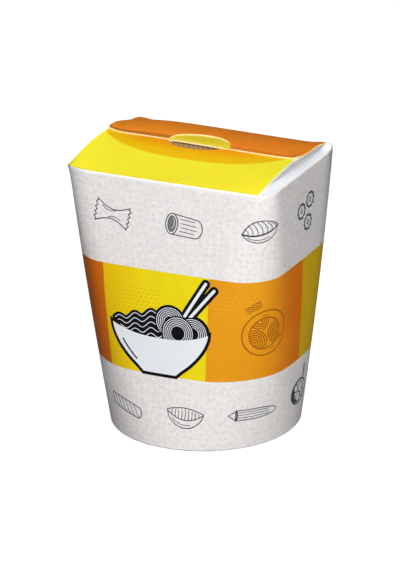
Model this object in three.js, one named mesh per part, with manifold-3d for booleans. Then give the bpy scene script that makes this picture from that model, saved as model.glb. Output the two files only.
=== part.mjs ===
// Folded paperboard noodle box, shut: a round foot, walls that run up to a
// rectangular rim, two side flaps folded in, and a front and a back flap that
// meet in a low arched lid. Millimetres, +Z up, front of the box towards -Y,
// origin at the centre of the foot, on the surface that it stands on.
import * as THREE from 'three';
import { mergeVertices } from 'three/addons/utils/BufferGeometryUtils.js';
import Module from 'manifold-3d';

// ---- driving dimensions ----------------------------------------------------
const FOOT_RADIUS = 43; // outside of the round foot
const RIM_WIDTH = 100; // outside of the rim, along X
const RIM_DEPTH = 69; // outside of the rim, along Y
const RIM_HEIGHT = 124; // score line of the four flaps
const RIM_CORNER_RADIUS = 4;
const RIM_BOW = 0.6; // how far the front and back rims belly out
const SIDE_BELLY = 1.2; // how far the side walls belly out at half height
const FLAT_HALF_ANGLE = 12; // degrees of the foot that each flat wall takes

const HEM_WIDTH = 1.7; // wall, skirt of the base and turned-in hem together
const BASE_RECESS = 6.3; // height of the hollow under the base
const BASE_THICKNESS = 1;
const BASE_SKIRT = 0.9;
const BASE_SKIRT_FOOT = 0.7; // height of the skirt's lower edge
const PIECE_GAP = 0.3; // clearance between the two pieces

const BOARD = 0.8; // thickness of a flap
const SIDE_BAND = 4.7; // bright band of each side flap outside the lid
const SIDE_BAND_RISE = 1.5; // how high that band climbs towards the lid
const SIDE_SLOPE = 4; // steepness of the side flap beyond the band, up to the lid
const SIDE_DIP = 0.6; // depth of the groove between band and slope
const SIDE_DIP_WIDTH = 0.7;
const EAR_RISE = { left: 1.4, right: 2.1 }; // how far the board stands up at the rim's back corners
const EAR_INSET = 3; // the top of each ear is this far in from the rim's side
const EAR_WIDTH = 8;

// Side edges of the front and back flap, at the ridge and at the fold. The lid
// was closed a little askew, so they aren't quite symmetrical.
const FRONT_EDGES = { left: [-45.3, -49.6], right: [47.1, 43.8], bulge: 0.3 };
const BACK_EDGES = { left: [-45.5, -48.2], right: [47.2, 45.8], bulge: 0.7 };
const TUCK_EDGES = { left: [-45.3, -44], right: [47.8, 46.8], bulge: 0 };
const FLAP_HALF = 45; // half width that the lid's curves are drawn over

const RIDGE_Y = -1.5; // free front edge of the back flap, at its middle
const RIDGE_SKEW = 1.2; // how far back its left end lies, and how far forward its right end
const RIDGE_RISE = 6.8; // its height above the rim, at its middle
const RIDGE_TILT = 0.5; // how much higher its left end is, and how much lower its right end
const RIDGE_SAG = { left: 1.3, right: -0.5 }; // how far it hangs towards each end
const RIDGE_CURL = { left: 2, right: 0.2 }; // how far it then turns up at the very end
const CREASE_OFFSET = 2.2; // score line behind that edge
const CREASE_RISE = 1; // how much higher the score line lies
// Fullness of the two flaps, and how late it changes from the middle to the sides.
const FRONT_ARCH = { left: 0.75, middle: -0.35, right: 0.93, power: 2 };
const BACK_ARCH = { left: 0.8, middle: 1.85, right: 2.6, power: 4 };
const BACK_DROOP = 1.6; // how far the back flap's right side hangs below that arch
const FLAP_STEP = 0.5; // height of the back flap's edge over the front flap
const FRONT_FLAP_TUCK = 12; // how far the front flap runs under the back flap
const TUCK_START = 0.15; // its bend, this far behind the ridge, keeps clear of the back flap's edge

const EYE_WIDTH = 30; // finger hole: a half-moon in each of the two flaps
const EYE_BACK_DEPTH = 7.1;
const EYE_FRONT_DEPTH = 4;
const EYE_POCKET = 3; // depth of the front half-moon below the flap
const EYE_OVERLAP = 0.05; // how far each half-moon's straight side runs past the ridge

const STEPS = { flat: 8, corner: 10, height: 12, lidX: 24, flap: 12, tuck: 4, eye: 28 };

// ---- meshes and solids -----------------------------------------------------
const wasm = await Module();
wasm.setup();

/** A closed three.js geometry as a solid that can be joined and cut. */
function solidOf(geometry) {
  const bare = geometry.clone();
  bare.deleteAttribute('normal');
  bare.deleteAttribute('uv');
  const merged = mergeVertices(bare, 1e-4);
  return new wasm.Manifold(new wasm.Mesh({
    numProp: 3,
    vertProperties: new Float32Array(merged.attributes.position.array),
    triVerts: new Uint32Array(merged.index.array),
  }));
}

/** The solid's surface as a three.js geometry. */
function geometryOf(solid) {
  const mesh = solid.getMesh();
  const geometry = new THREE.BufferGeometry();
  geometry.setAttribute('position', new THREE.BufferAttribute(mesh.vertProperties, 3));
  geometry.setIndex(new THREE.BufferAttribute(mesh.triVerts, 1));
  geometry.computeVertexNormals();
  return geometry;
}

/** Closed skin over rings of equally many points, with a flat fan on each end. */
function skin(rings) {
  const count = rings[0].length;
  const points = rings.flat();
  const faces = [];
  for (let level = 0; level + 1 < rings.length; level += 1) {
    for (let i = 0; i < count; i += 1) {
      const a = level * count + i;
      const b = level * count + (i + 1) % count;
      faces.push(a, b, b + count, a, b + count, a + count);
    }
  }
  const centreOf = (ring) => ring
    .reduce((sum, p) => sum.add(p), new THREE.Vector3())
    .divideScalar(count);
  const bottom = points.push(centreOf(rings[0])) - 1;
  const top = points.push(centreOf(rings[rings.length - 1])) - 1;
  const last = (rings.length - 1) * count;
  for (let i = 0; i < count; i += 1) {
    const next = (i + 1) % count;
    faces.push(bottom, next, i, top, last + i, last + next);
  }
  return new THREE.BufferGeometry().setFromPoints(points).setIndex(faces);
}

/** A sheet between two height functions; place(across, along) gives its plan for shares 0 to 1. */
function sheet({ place, stepsAcross, stepsAlong, top, bottom }) {
  const geometry = new THREE.BoxGeometry(1, 1, 1, stepsAcross, stepsAlong, 1);
  const spots = geometry.attributes.position;
  for (let i = 0; i < spots.count; i += 1) {
    const [x, y] = place(spots.getX(i) + 0.5, spots.getY(i) + 0.5);
    const z = spots.getZ(i) > 0 ? top(x, y) : bottom(x, y);
    spots.setXYZ(i, x, y, z);
  }
  return geometry;
}

// ---- walls -----------------------------------------------------------------
/** Matching points round the foot (a circle) and the rim (a rounded rectangle). */
function wallPairs() {
  const halfX = RIM_WIDTH / 2 - RIM_CORNER_RADIUS;
  const halfY = RIM_DEPTH / 2 - RIM_CORNER_RADIUS;
  const pairs = [];
  const add = (rimX, rimY, degrees) => {
    const angle = THREE.MathUtils.degToRad(degrees);
    const along = Math.abs(rimX) / (RIM_WIDTH / 2);
    const bow = Math.abs(rimY) / (RIM_DEPTH / 2) * RIM_BOW * (1 - along * along);
    pairs.push({
      rim: new THREE.Vector2(rimX, rimY + Math.sign(rimY) * bow),
      foot: new THREE.Vector2(Math.cos(angle), Math.sin(angle)).multiplyScalar(FOOT_RADIUS),
    });
  };
  for (let quarter = 0; quarter < 4; quarter += 1) {
    const mid = quarter * 90 - 90; // the flat wall's middle: front, right, back, left
    const out = new THREE.Vector2(Math.cos(mid * Math.PI / 180), Math.sin(mid * Math.PI / 180)).round();
    const along = new THREE.Vector2(-out.y, out.x);
    const reach = quarter % 2 ? halfX : halfY;
    const half = quarter % 2 ? halfY : halfX;
    for (let i = 0; i < STEPS.flat; i += 1) {
      const f = 2 * i / STEPS.flat - 1;
      const p = out.clone().multiplyScalar(reach + RIM_CORNER_RADIUS).addScaledVector(along, f * half);
      add(p.x, p.y, mid + f * FLAT_HALF_ANGLE);
    }
    for (let i = 0; i < STEPS.corner; i += 1) {
      const f = i / STEPS.corner;
      const turn = f * Math.PI / 2;
      const p = out.clone().multiplyScalar(reach + RIM_CORNER_RADIUS * Math.cos(turn))
        .addScaledVector(along, half + RIM_CORNER_RADIUS * Math.sin(turn));
      add(p.x, p.y, mid + FLAT_HALF_ANGLE + f * (90 - 2 * FLAT_HALF_ANGLE));
    }
  }
  return pairs;
}

/** How far rim and lid stand up at a place: nowhere but round the rim's two back corners. */
function earRise(x, y) {
  const offX = Math.abs(x) - RIM_WIDTH / 2 + EAR_INSET;
  const offY = y - RIM_DEPTH / 2;
  return EAR_RISE[x < 0 ? 'left' : 'right'] * Math.exp(-((offX ** 2 + offY ** 2) / EAR_WIDTH ** 2));
}

/** Outline of the walls at a share t of their height. */
function wallRing(pairs, t) {
  const belly = 4 * t * (1 - t) * SIDE_BELLY;
  return pairs.map(({ foot, rim }) => {
    const side = (foot.x / FOOT_RADIUS) ** 3;
    return new THREE.Vector3(
      THREE.MathUtils.lerp(foot.x, rim.x, t) + belly * side,
      THREE.MathUtils.lerp(foot.y, rim.y, t),
      t * RIM_HEIGHT + (t === 1 ? earRise(rim.x, rim.y) : 0),
    );
  });
}

/** The side flaps' bands stand proud along the sides and run out at the corners. */
const bandShare = (y) => 1 - Math.min(Math.abs(2 * y / RIM_DEPTH), 1) ** 4;

/** A ring inside the rim: the side flaps' band, then their dip under the lid. */
function rimRing(pairs, sideInset, sideHeight, edgeDrop) {
  const inner = RIM_WIDTH / 2 - sideInset;
  return pairs.map(({ rim }) => {
    const onSide = Math.abs(rim.x) > RIM_WIDTH / 2 - RIM_CORNER_RADIUS / 2;
    const x = THREE.MathUtils.clamp(rim.x, -inner, inner);
    const y = rim.y * (1 - 0.01 * sideInset);
    const rise = onSide ? sideHeight * bandShare(rim.y) : -edgeDrop;
    return new THREE.Vector3(x, y, RIM_HEIGHT + rise + earRise(x, y));
  });
}

/** Walls and contents up to the rim, closed by the two folded-in side flaps. */
function wallsSolid() {
  const pairs = wallPairs();
  const rings = [];
  for (let i = 0; i <= STEPS.height; i += 1) rings.push(wallRing(pairs, i / STEPS.height));
  rings.push(rimRing(pairs, SIDE_BAND, SIDE_BAND_RISE, SIDE_DIP / 2));
  rings.push(rimRing(pairs, SIDE_BAND + SIDE_DIP_WIDTH, -SIDE_DIP, SIDE_DIP));
  return solidOf(skin(rings));
}

// ---- lid -------------------------------------------------------------------
/** Distance of the front or back fold from the middle, round the rim's corners too. */
function foldY(x) {
  const pastCorner = Math.max(Math.abs(x) - RIM_WIDTH / 2 + RIM_CORNER_RADIUS, 0);
  const bow = RIM_BOW * (1 - (2 * x / RIM_WIDTH) ** 2);
  return RIM_DEPTH / 2 - RIM_CORNER_RADIUS - 0.05
    + Math.sqrt(RIM_CORNER_RADIUS ** 2 - pastCorner ** 2) + bow;
}

const hump = (share, fullness) => (1 - share) * (1 + fullness * share);

/** A flap's fullness at x, from those at its middle and its two sides. */
function fullnessAt(x, { left, middle, right, power }) {
  return THREE.MathUtils.lerp(middle, x < 0 ? left : right, Math.abs(x / FLAP_HALF) ** power);
}

const ridgeY = (x) => RIDGE_Y - RIDGE_SKEW * x / FLAP_HALF;
const ridgeRise = (x) => RIDGE_RISE - RIDGE_TILT * x / FLAP_HALF;

/** What the ridge's ends hang down and curl up, for a share from the ridge (0) to the fold (1). */
function endBend(x, share) {
  const out = x / FLAP_HALF;
  const end = x < 0 ? 'left' : 'right';
  return (RIDGE_CURL[end] * out ** 12 - RIDGE_SAG[end] * out ** 4) * (1 - share) ** 3;
}

/** How far the back flap's right side hangs down, most of all a third of the way from the ridge. */
function sideDroop(x, share) {
  return x > 0 ? BACK_DROOP * (x / FLAP_HALF) ** 12 * 27 / 4 * share * (1 - share) ** 2 : 0;
}

/** Top of the back flap: a strip up to its score line, then a full arch down to the back rim. */
function backTop(x, y) {
  const edge = ridgeRise(x);
  const crest = edge + CREASE_RISE * Math.max(1 - (x / FLAP_HALF) ** 4, 0);
  const u = y - ridgeY(x);
  const share = THREE.MathUtils.clamp((u - CREASE_OFFSET) / (foldY(x) - ridgeY(x) - CREASE_OFFSET), 0, 1);
  const arch = u <= CREASE_OFFSET
    ? THREE.MathUtils.lerp(edge, crest, Math.max(u, 0) / CREASE_OFFSET)
    : crest * hump(share, fullnessAt(x, BACK_ARCH));
  return RIM_HEIGHT + arch + endBend(x, share) - sideDroop(x, share) + earRise(x, y);
}

/** Top of the front flap: full along its sides, hollow in the middle, then under the back flap. */
function frontTop(x, y) {
  if (y > ridgeY(x)) return backTop(x, y) - FLAP_STEP;
  const share = Math.min((ridgeY(x) - y) / (ridgeY(x) + foldY(x)), 1);
  const arch = (ridgeRise(x) - FLAP_STEP) * hump(share, fullnessAt(x, FRONT_ARCH));
  return RIM_HEIGHT + arch + endBend(x, share);
}

/** X on a flap, for a share across it and a share from the ridge (0) to the fold (1). */
function flapX({ left, right, bulge }, across, share) {
  const swell = bulge * 4 * share * (1 - share);
  const from = THREE.MathUtils.lerp(...left, share) - swell;
  const to = THREE.MathUtils.lerp(...right, share) + swell;
  return THREE.MathUtils.lerp(from, to, across);
}

const backFlap = () => solidOf(sheet({
  place: (across, along) => {
    const x = flapX(BACK_EDGES, across, along);
    return [x, THREE.MathUtils.lerp(ridgeY(x), foldY(x), along)];
  },
  stepsAcross: STEPS.lidX,
  stepsAlong: STEPS.flap,
  top: backTop,
  bottom: (x, y) => backTop(x, y) - BOARD,
}));

const frontFlap = () => solidOf(sheet({
  place: (across, along) => {
    const toRidge = along * (STEPS.flap + STEPS.tuck) / STEPS.flap;
    if (toRidge <= 1) {
      const x = flapX(FRONT_EDGES, across, 1 - toRidge);
      return [x, THREE.MathUtils.lerp(-foldY(x), ridgeY(x) + TUCK_START, toRidge)];
    }
    const tucked = (toRidge - 1) * STEPS.flap / STEPS.tuck;
    const x = flapX(TUCK_EDGES, across, tucked);
    return [x, ridgeY(x) + THREE.MathUtils.lerp(TUCK_START, FRONT_FLAP_TUCK, tucked)];
  },
  stepsAcross: STEPS.lidX,
  stepsAlong: STEPS.flap + STEPS.tuck,
  top: frontTop,
  bottom: (x, y) => frontTop(x, y) - BOARD,
}));

/** Fill under the lid, with the side flaps' slopes as its two ends. */
const lidCore = () => solidOf(sheet({
  place: (across, along) => {
    const half = RIM_WIDTH / 2 - SIDE_BAND + 0.2;
    const x = half * Math.sin((across - 0.5) * Math.PI);
    const y = along <= 0.5
      ? THREE.MathUtils.lerp(1 - foldY(x), ridgeY(x) + 2 * TUCK_START, 2 * along)
      : THREE.MathUtils.lerp(ridgeY(x) + 2 * TUCK_START, foldY(x) - 1, 2 * along - 1);
    return [x, y];
  },
  stepsAcross: STEPS.lidX,
  stepsAlong: STEPS.flap,
  top: (x, y) => {
    const inwards = RIM_WIDTH / 2 - SIDE_BAND - Math.abs(x);
    const slope = RIM_HEIGHT + SIDE_BAND_RISE * bandShare(y) + SIDE_SLOPE * inwards + earRise(x, y);
    const flap = y > ridgeY(x) ? backTop(x, y) : frontTop(x, y);
    return Math.min(slope, flap - BOARD / 2);
  },
  bottom: () => RIM_HEIGHT - 4,
}));

/** Upright half-oval prism at the back flap's edge, reaching depth in front of or behind it. */
function halfMoon(depth, zFrom, zTo) {
  const outline = new THREE.Shape();
  const turn = depth > 0 ? 1 : -1;
  for (let i = 0; i <= STEPS.eye; i += 1) {
    const angle = turn * Math.PI * i / STEPS.eye;
    const x = EYE_WIDTH / 2 * Math.cos(angle);
    const y = ridgeY(x) + Math.abs(depth) * Math.sin(angle) - turn * EYE_OVERLAP;
    if (i === 0) outline.moveTo(x, y);
    else outline.lineTo(x, y);
  }
  const prism = new THREE.ExtrudeGeometry(outline, { depth: zTo - zFrom, bevelEnabled: false });
  return solidOf(prism.translate(0, 0, zFrom));
}

/** The body alone, without the slivers and sealed specks that joining leaves. */
const bodyOf = (solid) => solid.decompose().sort((a, b) => b.volume() - a.volume())[0];

// ---- the two pieces --------------------------------------------------------
/** The folded blank with its contents, as one solid. */
function paperBox() {
  const lidTop = RIM_HEIGHT + RIDGE_RISE + CREASE_RISE + 2;
  const pocketFloor = RIM_HEIGHT + RIDGE_RISE - FLAP_STEP - EYE_POCKET;
  const recess = new THREE.CylinderGeometry(
    FOOT_RADIUS - HEM_WIDTH, FOOT_RADIUS - HEM_WIDTH, 2 * BASE_RECESS, 72,
  ).rotateX(Math.PI / 2);
  const notchedBack = backFlap().subtract(halfMoon(EYE_BACK_DEPTH, RIM_HEIGHT, lidTop));
  const solid = wallsSolid()
    .add(lidCore())
    .add(frontFlap())
    .subtract(halfMoon(-EYE_FRONT_DEPTH, pocketFloor, lidTop))
    .add(notchedBack)
    .subtract(solidOf(recess));
  return geometryOf(bodyOf(solid));
}

/** Round base: a disc with a turned-down skirt, set into the foot. */
function baseDisc() {
  const outer = FOOT_RADIUS - HEM_WIDTH - PIECE_GAP;
  const top = BASE_RECESS - PIECE_GAP;
  const profile = [
    [0, top - BASE_THICKNESS],
    [outer - BASE_SKIRT, top - BASE_THICKNESS],
    [outer - BASE_SKIRT, BASE_SKIRT_FOOT],
    [outer, BASE_SKIRT_FOOT],
    [outer, top],
    [0, top],
  ].map(([r, z]) => new THREE.Vector2(r, z));
  return new THREE.LatheGeometry(profile, 72).rotateX(Math.PI / 2);
}

const boardMaterial = new THREE.MeshStandardMaterial({ color: 0xece8e4, roughness: 0.5, metalness: 0 });
const baseMaterial = new THREE.MeshStandardMaterial({ color: 0xf3f1ec, roughness: 0.6, metalness: 0 });

function named(name, geometry, material) {
  const mesh = new THREE.Mesh(geometry, material);
  mesh.name = name;
  return mesh;
}

const group = new THREE.Group();
group.add(named('paper_box', paperBox(), boardMaterial));
group.add(named('base_disc', baseDisc(), baseMaterial));

export default group;
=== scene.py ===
"""Noodle takeaway box in folded, printed paperboard, dressed over its CAD frame.

All sizes are millimetres until a mesh is made. The walls are one sheet, drawn in
sheet coordinates: s runs round the box (0 at the middle of the front, 300 in all)
and v up it. The print is laid out as flat outlines in the same coordinates, so
every printed edge is an edge of the mesh.
"""
import math

import bpy
import numpy as np
from mathutils import Matrix, Vector
from mathutils.geometry import delaunay_2d_cdt


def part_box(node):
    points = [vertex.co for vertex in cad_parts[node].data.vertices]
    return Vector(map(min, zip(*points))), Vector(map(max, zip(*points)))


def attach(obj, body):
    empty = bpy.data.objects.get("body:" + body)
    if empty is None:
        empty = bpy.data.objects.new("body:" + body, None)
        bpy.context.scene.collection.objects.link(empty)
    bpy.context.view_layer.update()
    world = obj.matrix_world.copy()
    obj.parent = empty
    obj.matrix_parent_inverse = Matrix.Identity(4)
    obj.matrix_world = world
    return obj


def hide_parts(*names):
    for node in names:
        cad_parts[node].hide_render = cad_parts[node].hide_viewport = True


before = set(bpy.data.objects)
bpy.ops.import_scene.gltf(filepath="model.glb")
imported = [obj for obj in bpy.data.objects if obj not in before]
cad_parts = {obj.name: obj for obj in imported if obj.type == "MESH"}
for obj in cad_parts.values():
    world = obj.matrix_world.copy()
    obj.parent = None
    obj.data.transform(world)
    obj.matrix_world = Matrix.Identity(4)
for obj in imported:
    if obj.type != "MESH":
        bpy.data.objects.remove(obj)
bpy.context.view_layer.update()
low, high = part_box("paper_box")
cup_low, cup_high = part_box("base_disc")
MM = 0.001

# ---- sizes, as in the CAD model
RIM_WIDTH = (high[0] - low[0]) / MM
FOOT_RADIUS = (high[1] - low[1]) / MM / 2
RIM_DEPTH = 69.0
RIM_HEIGHT = 124.0
RIM_CORNER = 4.0  # corner radius of the rim
RIM_BOW = 0.6  # how far the front and back rims belly out
SIDE_BELLY = 1.2  # how far the side walls belly out at half height
FLAT_ANGLE = 12.0  # degrees of the foot on each side of a flat wall's middle
HEM_WIDTH = 1.7

SIDE_BAND = 4.7  # bright band of each side flap outside the lid
SIDE_BAND_RISE = 1.5
# The board stands up at the back corners.
EAR_RISE, EAR_INSET = {"left": 1.4, "right": 2.1}, 3.0
EAR_WIDTH, EAR_DEPTH, EAR_REACH = 8.0, 5.0, 10.0

FLAP_HALF = 45.0
# Each side edge of a flap: its x at the ridge and at the fold, and how far it bulges.
FRONT_LEFT, FRONT_RIGHT, FRONT_BULGE = (-45.3, -49.6), (47.1, 43.8), 0.3
BACK_LEFT, BACK_RIGHT, BACK_BULGE = (-45.5, -48.2), (47.2, 45.8), 0.7
RIDGE_Y, RIDGE_SKEW = -1.5, 1.2
RIDGE_RISE, RIDGE_TILT = 6.8, 0.5
# The ridge's ends hang down, and curl up again at their tips.
RIDGE_SAG, RIDGE_CURL = {"left": 1.3, "right": -0.5}, {"left": 2.0, "right": 0.2}
SAG_POWER, CURL_POWER = 4, 12
CREASE_OFFSET, CREASE_RISE = 2.2, 1.0  # pressed line behind the back flap's free edge
# How full each flap's arch is at its middle and towards its sides.
FRONT_ARCH = {"left": 0.75, "middle": -0.35, "right": 0.93, "power": 2}
BACK_ARCH = {"left": 0.8, "middle": 1.85, "right": 2.6, "power": 4}
BACK_DROOP = 1.6  # how far the back flap sinks along its right edge
FLAP_STEP = 0.65  # how far the front flap lies below the back one
TUCK = 12.0  # how far the front flap runs on under the back one
# Finger hole: middle, half width, depth and lopsidedness of its half-moons.
EYE_BACK, EYE_FRONT = (-0.1, 15.0, 7.1, 0.18), (-2.6, 12.6, -3.8, -0.2)
EYE_SLIT = (0.0, 14.6, -0.35, 0.0)  # the cut runs on a little past the front half-moon
EYE_LIFT = 0.6  # how far the cut edge springs up inside the hole
HOLE_REACH = 16.0  # how far to each side cut edges belong to the hole

# ---- sizes of the dressing only
BOARD = 0.75  # thickness of the board
HEM_ROUND, HEM_OVERLAP = 0.85, 0.2  # rounding under the foot, and how far the hem laps the base
FOLD_ROUND = 0.6  # rounding of the folds at the rim
CORNER_SOFTNESS = 7.0  # how far to each side the shading of the upright corners runs out
EDGE_INSET = 0.25  # how far inside the lid's edge the side flaps meet it
EDGE_LEAN = 0.8  # how far the soft, crushed cut edges face upwards
SLOPE_LEAN = 1.5  # the same for the slopes of the side flaps
SIDE_REACH = 33.5  # how far the side flaps reach on the sheet, from their middle
SIDE_SCORE = 0.06  # depth of the side flaps' score line
UNDER_GAP = 0.1  # between the lid and the side flaps below it
SPRING, SPRING_WIDTH = 0.75, 6.0  # the board springs out and up at the front left corner
SHEET = 300.0  # length of the wall sheet in sheet coordinates
SEAM = -78.0  # where the sheet's two ends overlap
SEAM_TUCK = 2.0  # how far the inner end runs on under the outer one
SEAM_STEP, SEAM_RAMP = 0.35, 12.0  # depth of the step there, and how soon it runs out
SEAM_HEIGHT = 60.0  # where the wall's direction at the seam is read
SCORE_DEPTH, SCORE_WIDTH = 0.14, 0.3  # pressed line along the back flap's edge
V_LOW = HEM_ROUND * (1 - math.pi / 2)
V_HIGH = RIM_HEIGHT - FOLD_ROUND + FOLD_ROUND * math.pi / 2
GRID, LID_GRID = 3.0, 1.6  # spacing of the mesh where nothing is printed
# Where the flaps are: x from and to, y from and to.
FRONT_AREA, BACK_AREA = (-50, 47, -34, RIDGE_Y + TUCK), (-48, 48, -3, 35)
FOLD_SLACK = 0.05  # how near to a fold an edge counts as part of it
FLAP_CORNER = 1.6  # radius of the back flap's free corner
# The tucked part's outline: x, the x at which the ridge is read, and how far past that it lies.
TUCK_OUTLINE = ((47.8, 47, 1), (47.4, 47, 8), (44, 0, TUCK), (-43, 0, TUCK), (-44.9, -45, 1.5))


# ---- form of the walls
def unit(vectors):
    return vectors / np.linalg.norm(vectors, axis=-1, keepdims=True)


def dome(x, half):
    """1 at x = 0, falling to 0 at half."""
    return 1 - (x / half) ** 2


def rim_and_foot(flat=60, corner=40):
    """Matching points round the rim (a rounded rectangle) and round the foot (a circle)."""
    half_x, half_y = RIM_WIDTH / 2 - RIM_CORNER, RIM_DEPTH / 2 - RIM_CORNER
    f, g = 2 * np.arange(flat) / flat - 1, np.arange(corner) / corner
    turn = g * math.pi / 2
    quarters = []
    for quarter in range(4):
        middle = quarter * 90 - 90
        out = np.round([math.cos(math.radians(middle)), math.sin(math.radians(middle))])
        along = np.array([-out[1], out[0]])
        reach, half = (half_x, half_y) if quarter % 2 else (half_y, half_x)
        ahead = reach + RIM_CORNER * np.r_[np.ones(flat), np.cos(turn)]
        aside = np.r_[f * half, half + RIM_CORNER * np.sin(turn)]
        angle = np.r_[f * FLAT_ANGLE, FLAT_ANGLE + g * (90 - 2 * FLAT_ANGLE)] + middle
        foot = FOOT_RADIUS * np.c_[np.cos(np.radians(angle)), np.sin(np.radians(angle))]
        quarters.append(np.c_[np.outer(ahead, out) + np.outer(aside, along), foot])
    points = np.vstack(quarters)
    x, y = points[:, 0], points[:, 1]
    points[:, 1] += y / (RIM_DEPTH / 2) * RIM_BOW * dome(x, RIM_WIDTH / 2)
    return np.roll(points, -flat // 2, axis=0)


def wall_table(levels=97, count=960):
    """Rings up the wall, each with evenly spaced points that start at the front's middle."""
    points = rim_and_foot()
    rings = np.zeros((levels, count + 1, 2))
    for level, t in enumerate(np.linspace(0, 1, levels)):
        belly = 4 * t * (1 - t) * SIDE_BELLY * (points[:, 2] / FOOT_RADIUS) ** 3
        ring = points[:, 2:] * (1 - t) + points[:, :2] * t
        ring[:, 0] += belly
        ring = np.vstack([ring, ring[:1]])
        run = np.r_[0, np.cumsum(np.hypot(*np.diff(ring, axis=0).T))]
        even = np.linspace(0, run[-1], count + 1)
        rings[level] = np.c_[np.interp(even, run, ring[:, 0]), np.interp(even, run, ring[:, 1])]
    return rings


RINGS = wall_table()


def on_wall(s, z):
    """Point of the wall at sheet position s and height z."""
    levels, count = RINGS.shape[0] - 1, RINGS.shape[1] - 1
    f = (s / SHEET) % 1.0 * count
    t = np.clip(z / RIM_HEIGHT, 0, 1) * levels
    i, j = np.minimum(f.astype(int), count - 1), np.minimum(t.astype(int), levels - 1)
    a, b = (f - i)[:, None], (t - j)[:, None]
    lower = (1 - a) * RINGS[j, i] + a * RINGS[j, i + 1]
    upper = (1 - a) * RINGS[j + 1, i] + a * RINGS[j + 1, i + 1]
    return np.c_[(1 - b) * lower + b * upper, z]


def sided(x, values):
    """The value for the left or the right side."""
    return np.where(x < 0, values["left"], values["right"])


def ear_rise(x, y):
    off_x, off_y = np.abs(x) - RIM_WIDTH / 2 + EAR_INSET, y - RIM_DEPTH / 2
    return sided(x, EAR_RISE) * np.exp(-(off_x / EAR_WIDTH) ** 2 - (off_y / EAR_DEPTH) ** 2)


def corner_spring(x, y):
    off_x, off_y = x + RIM_WIDTH / 2, y + RIM_DEPTH / 2
    return SPRING * np.exp(-(off_x**2 + off_y**2) / SPRING_WIDTH**2)


def wall_surface(s, v):
    """Points and normals of the wall sheet, with its rounded hem, rounded top fold and seam."""
    z = np.clip(v, HEM_ROUND, RIM_HEIGHT - FOLD_ROUND)
    step = 0.4
    around = on_wall(s + step, z) - on_wall(s - step, z)
    wide = on_wall(s + CORNER_SOFTNESS, z) - on_wall(s - CORNER_SOFTNESS, z)
    upward = on_wall(s, np.minimum(z + step, RIM_HEIGHT)) - on_wall(s, z - step)
    normal = unit(np.cross(wide, upward))
    flat = unit(np.cross(around, upward) * [1, 1, 0])
    below = np.clip((HEM_ROUND - v) / HEM_ROUND, 0, None)[:, None]
    above = np.clip((v - RIM_HEIGHT + FOLD_ROUND) / FOLD_ROUND, 0, None)[:, None]
    past_seam = np.clip((s - SEAM) / SEAM_RAMP, 0, 1)[:, None]
    inward = HEM_ROUND * (1 - np.cos(below)) + FOLD_ROUND * (1 - np.cos(above))
    inward = inward + SEAM_STEP * (1 - past_seam) ** 2
    up = np.array([0, 0, 1.0])
    points = on_wall(s, z) - flat * inward
    points = points + up * (FOLD_ROUND * np.sin(above) - HEM_ROUND * np.sin(below))
    near_rim = np.clip(1 - (RIM_HEIGHT - v) / EAR_REACH, 0, 1)
    x, y, _ = points.T
    spring = near_rim**2 * corner_spring(x, y)
    points = points + np.c_[-spring, 0 * spring, near_rim**2 * ear_rise(x, y) + spring]
    turned = normal * np.cos(below) * np.cos(above) + up * (np.sin(above) - np.sin(below))
    return points, unit(turned)


# ---- form of the lid
def fold_y(x):
    past_corner = np.maximum(np.abs(x) - RIM_WIDTH / 2 + RIM_CORNER, 0)
    bow = RIM_BOW * dome(x, RIM_WIDTH / 2)
    corner = np.sqrt(np.maximum(RIM_CORNER**2 - past_corner**2, 0))
    return RIM_DEPTH / 2 - RIM_CORNER + corner + bow


def hump(share, fullness):
    return (1 - share) * (1 + fullness * share)


def ridge_y(x):
    return RIDGE_Y - RIDGE_SKEW * x / FLAP_HALF


def fullness_at(x, arch):
    middle = arch["middle"]
    return middle + (sided(x, arch) - middle) * np.abs(x / FLAP_HALF) ** arch["power"]


def ridge_rise(x):
    return RIDGE_RISE - RIDGE_TILT * x / FLAP_HALF


def end_bend(x, share):
    """What the ridge's ends hang down and curl up, fading towards the fold."""
    out = x / FLAP_HALF
    bend = sided(x, RIDGE_CURL) * out**CURL_POWER - sided(x, RIDGE_SAG) * out**SAG_POWER
    return bend * (1 - share) ** 3


def back_top(x, y):
    edge = ridge_rise(x)
    crest = edge + CREASE_RISE * np.maximum(1 - (x / FLAP_HALF) ** 4, 0)
    u = y - ridge_y(x)
    strip = edge + (crest - edge) * np.clip(u / CREASE_OFFSET, 0, 1)
    reach = fold_y(x) - FOLD_ROUND - ridge_y(x) - CREASE_OFFSET
    share = np.clip((u - CREASE_OFFSET) / reach, 0, 1)
    arch = np.where(u <= CREASE_OFFSET, strip, crest * hump(share, fullness_at(x, BACK_ARCH)))
    sink = 27 / 4 * share * (1 - share) ** 2  # its peak is 1
    droop = np.where(x > 0, BACK_DROOP * (x / FLAP_HALF) ** CURL_POWER * sink, 0)
    score = SCORE_DEPTH * np.exp(-(((u - CREASE_OFFSET) / SCORE_WIDTH) ** 2))
    return RIM_HEIGHT + arch + end_bend(x, share) - droop + ear_rise(x, y) - score


def front_top(x, y):
    share = np.clip((ridge_y(x) - y) / (ridge_y(x) + fold_y(x) - FOLD_ROUND), 0, 1)
    arch = (ridge_rise(x) - FLAP_STEP) * hump(share, fullness_at(x, FRONT_ARCH))
    front = RIM_HEIGHT + arch + end_bend(x, share) + corner_spring(x, y)
    return np.where(y > ridge_y(x), back_top(x, y) - FLAP_STEP, front)


def eye_lift(x, y):
    """How far the front flap's cut edge stands up inside the finger hole."""
    middle, half, depth, _ = EYE_BACK
    across = np.clip(1 - ((x - middle) / half) ** 8, 0, 1)
    past = y - ridge_y(x)
    return EYE_LIFT * across * np.clip(1 - past / depth, 0, 1) ** 2 * (past > -0.01)


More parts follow.
